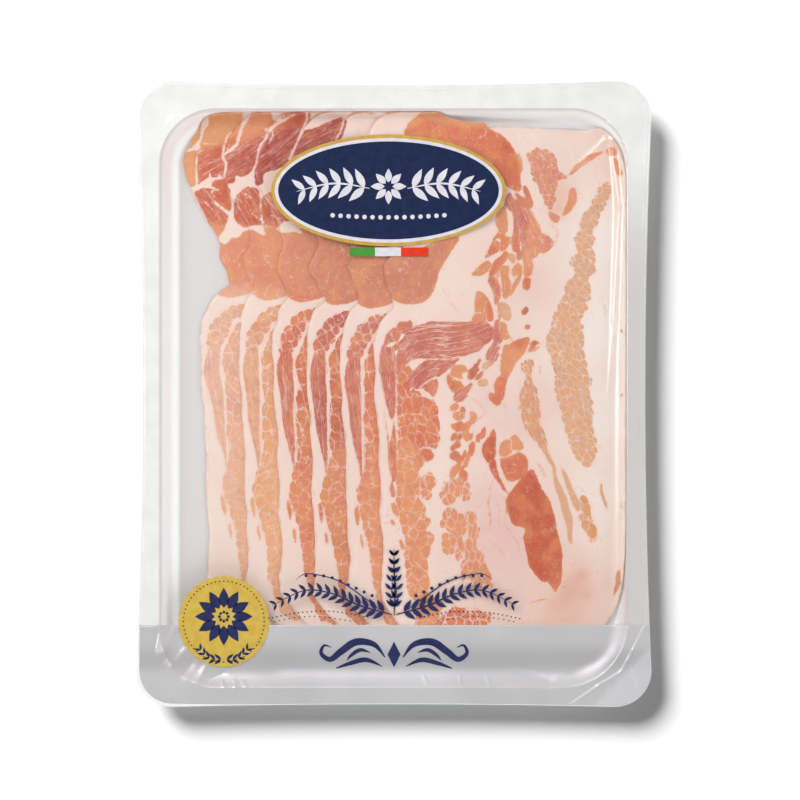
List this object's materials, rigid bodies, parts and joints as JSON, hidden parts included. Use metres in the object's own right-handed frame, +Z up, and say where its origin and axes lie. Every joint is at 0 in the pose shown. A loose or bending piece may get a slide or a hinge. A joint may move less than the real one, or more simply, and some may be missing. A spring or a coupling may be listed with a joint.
{
  "type": "pack of sliced cured pork cheek",
  "caption": "Flat white tray with a flange holding shingled slices of cured pork cheek under a sealed film with a silver band and printed labels.",
  "frame": {"origin": "on the tray's underside, at the middle of the pack's outline", "axes": "+Z up through the film, +Y along the pack towards the end with the oval label, +X to the right as the label is seen"},
  "size_m": [0.2, 0.243, 0.0132],
  "materials": {
    "tray": "smooth white thermoformed plastic, soft gloss",
    "film": "clear glossy lidding film with a printed silver band across the lower end",
    "cured_meat": "moist cured pork: pale fat with orange-red lean muscle",
    "oval_label": "navy print with a white and a gold rim",
    "colour_strip": "green, white and red printed strip",
    "seal_label": "matt gold print with a scalloped edge"
  },
  "bodies": {
    "root": {"tray": "tray", "lid_film": "film", "slice_1": "cured_meat", "slice_2": "cured_meat", "slice_3": "cured_meat", "slice_4": "cured_meat", "slice_5": "cured_meat", "slice_6": "cured_meat", "oval_label": "oval_label", "colour_strip": "colour_strip", "seal_label": "seal_label"}
  },
  "joints": []
}
